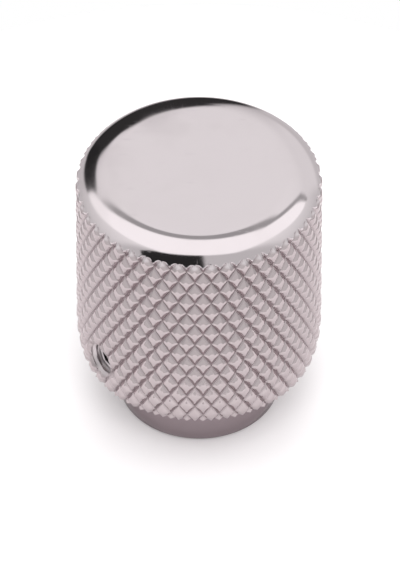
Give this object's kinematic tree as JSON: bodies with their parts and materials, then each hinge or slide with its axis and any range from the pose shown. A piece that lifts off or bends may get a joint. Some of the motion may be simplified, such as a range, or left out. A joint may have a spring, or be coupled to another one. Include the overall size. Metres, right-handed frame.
{
  "type": "furniture knob",
  "caption": "Round knurled metal furniture knob on a smooth round neck, with a blind spindle bore in its base and a grub screw in its side.",
  "frame": {"origin": "centre of the neck's base face, on the knob's axis", "axes": "+Z along the knob's axis from the base to the flat top, -Y towards the front; the grub screw points out between -X and -Y"},
  "size_m": [0.02, 0.02, 0.0246],
  "materials": {
    "plated_brass": "polished nickel plate on turned and knurled brass",
    "screw_steel": "blackened steel"
  },
  "bodies": {
    "root": {"knob": "plated_brass", "grub_screw": "screw_steel"}
  },
  "joints": []
}
